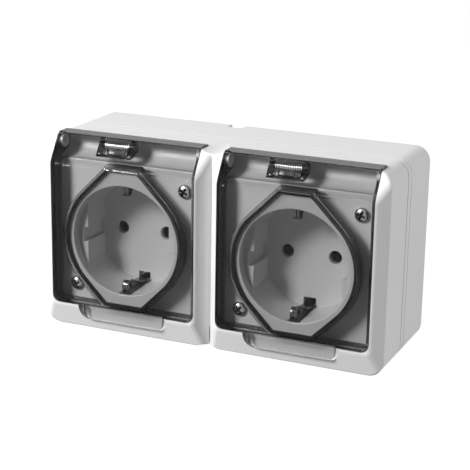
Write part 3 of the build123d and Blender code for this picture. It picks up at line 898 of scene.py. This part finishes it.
class SOCKET_OT_clips(bpy.types.Operator):
    """Bend the plated earth springs that stand in the channels of the wells."""

    bl_idname = "socket.clips"
    bl_label = "Earth Springs"

    def execute(self, context):
        hardware = context.scene.socket_hardware
        plating = metal("clip_plating", context.scene.socket_finish.clip_colour, gloss=0.16, depth=0.003 * MM)
        for side in SIDES:
            clip = bent_clip(hardware, f"{side}_earth_spring", OUTLET_X[side])
            fitted(clip, HOUSING_BODY, "spring_steel", plating, f"{side}_earth_strap")
        return {"FINISHED"}


class SOCKET_OT_lids(bpy.types.Operator):
    """Finish the two lids as smoky see-through plastic."""

    bl_idname = "socket.lids"
    bl_label = "Smoky Lids"

    def execute(self, context):
        dress(smoky_plastic(context.scene.socket_finish), *both("lid"))
        return {"FINISHED"}


def camera_frame(azimuth, elevation, roll):
    """Right, up and backward directions of a camera."""
    outward = Vector((math.sin(azimuth), -math.cos(azimuth), 0))
    back = outward * math.cos(elevation) + Vector((0, 0, math.sin(elevation)))
    level = Vector((math.cos(azimuth), math.sin(azimuth), 0))
    upright = back.cross(level)
    right = level * math.cos(roll) + upright * math.sin(roll)
    up = upright * math.cos(roll) - level * math.sin(roll)
    return right, up, back


def add_camera(studio):
    """Camera at the photograph's angle, with no shift."""
    right, up, back = camera_frame(studio.azimuth, studio.elevation, studio.roll)
    lens = bpy.data.cameras.new("front_camera")
    lens.lens = studio.lens
    lens.sensor_width = SENSOR_WIDTH
    camera = bpy.data.objects.new("front_camera", lens)
    bpy.context.scene.collection.objects.link(camera)
    turn = Matrix((right, up, back)).transposed().to_4x4()
    place = Vector(studio.target) + back * studio.distance
    camera.matrix_world = Matrix.Translation(place) @ turn
    bpy.context.scene.camera = camera


def add_lamp(name, place, aim, size, power):
    """Square area lamp that points at a place."""
    light = bpy.data.lights.new(name, "AREA")
    light.shape = "SQUARE"
    light.size = size
    light.energy = power
    lamp = bpy.data.objects.new(name, light)
    bpy.context.scene.collection.objects.link(lamp)
    lamp.location = place
    lamp.rotation_euler = (Vector(aim) - Vector(place)).to_track_quat("-Z", "Y").to_euler()


def seen_directly(tree):
    """Value that is one for rays from the camera and for mirrored or refracted rays."""
    rays = tree.nodes.new("ShaderNodeLightPath")
    seen = math_node(tree, "MAXIMUM", rays.outputs["Is Camera Ray"], rays.outputs["Is Glossy Ray"])
    return math_node(tree, "MAXIMUM", seen, rays.outputs["Is Transmission Ray"])


def add_world(light):
    """White background with a softer light on the socket."""
    world = bpy.data.worlds.new("studio")
    bpy.context.scene.world = world
    world.use_nodes = True
    tree = world.node_tree
    tree.nodes.clear()
    soft = tree.nodes.new("ShaderNodeBackground")
    soft.inputs["Strength"].default_value = light
    white = tree.nodes.new("ShaderNodeBackground")
    for background in (soft, white):
        background.inputs["Color"].default_value = (1, 1, 1, 1)
    mix = tree.nodes.new("ShaderNodeMixShader")
    link(tree, seen_directly(tree), mix.inputs["Fac"])
    link(tree, soft.outputs["Background"], mix.inputs[1])
    link(tree, white.outputs["Background"], mix.inputs[2])
    output = tree.nodes.new("ShaderNodeOutputWorld")
    link(tree, mix.outputs["Shader"], output.inputs["Surface"])


def floor_paint():
    """White floor that keeps a soft shadow."""
    material = clean("floor_paint")
    tree = material.node_tree
    paint = tree.nodes.new("ShaderNodeBsdfDiffuse")
    paint.inputs["Color"].default_value = (FLOOR_GREY, FLOOR_GREY, FLOOR_GREY, 1)
    glow = tree.nodes.new("ShaderNodeEmission")
    link(tree, math_node(tree, "MULTIPLY", seen_directly(tree), FLOOR_GLOW), glow.inputs["Strength"])
    add = tree.nodes.new("ShaderNodeAddShader")
    link(tree, paint.outputs["BSDF"], add.inputs[0])
    link(tree, glow.outputs["Emission"], add.inputs[1])
    link(tree, add.outputs["Shader"], output_of(tree).inputs["Surface"])
    return material


class SOCKET_OT_studio(bpy.types.Operator):
    """Set up the floor, the lamps, the white surroundings and the camera."""

    bl_idname = "socket.studio"
    bl_label = "Studio"

    def execute(self, context):
        studio = context.scene.socket_studio
        context.scene.view_settings.view_transform = "Standard"
        low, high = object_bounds()
        deselect_all()
        bpy.ops.mesh.primitive_plane_add(size=FLOOR_EDGE, location=(0, 0, low.z))
        floor = context.active_object
        floor.name = "studio_floor"
        floor.data.materials.append(floor_paint())
        floor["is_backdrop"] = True
        centre = (low + high) / 2
        powers = (studio.key_light, studio.top_light, studio.side_light)
        for (name, place, size), power in zip(LAMPS, powers):
            add_lamp(name, place, centre, size, power)
        add_world(studio.world_light)
        add_camera(studio)
        return {"FINISHED"}


class SOCKET_PT_panel(bpy.types.Panel):
    """Sidebar panel with every step of the socket."""

    bl_idname = "SOCKET_PT_panel"
    bl_label = "Weatherproof Socket"
    bl_space_type = "VIEW_3D"
    bl_region_type = "UI"
    bl_category = "Socket"

    def draw(self, context):
        layout = self.layout
        for step in STEPS:
            layout.operator(step.bl_idname)
        for label in GROUPS:
            group = getattr(context.scene, label)
            box = layout.box()
            for name in group.bl_rna.properties.keys():
                if name not in ("rna_type", "name"):
                    box.prop(group, name)


STEPS = (
    SOCKET_OT_housing,
    SOCKET_OT_inserts,
    SOCKET_OT_rubber,
    SOCKET_OT_metal,
    SOCKET_OT_screws,
    SOCKET_OT_springs,
    SOCKET_OT_clips,
    SOCKET_OT_lids,
    SOCKET_OT_studio,
)
GROUPS = {
    "socket_finish": SocketFinish,
    "socket_hardware": SocketHardware,
    "socket_studio": SocketStudio,
}


def register():
    for name, group in GROUPS.items():
        bpy.utils.register_class(group)
        setattr(bpy.types.Scene, name, bpy.props.PointerProperty(type=group))
    for step in STEPS:
        bpy.utils.register_class(step)
    bpy.utils.register_class(SOCKET_PT_panel)


def unregister():
    bpy.utils.unregister_class(SOCKET_PT_panel)
    for step in reversed(STEPS):
        bpy.utils.unregister_class(step)
    for name, group in GROUPS.items():
        delattr(bpy.types.Scene, name)
        bpy.utils.unregister_class(group)


def main():
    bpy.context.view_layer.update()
    register()
    for step in STEPS:
        area, name = step.bl_idname.split(".")
        getattr(getattr(bpy.ops, area), name)()


if __name__ == "__main__":
    main()
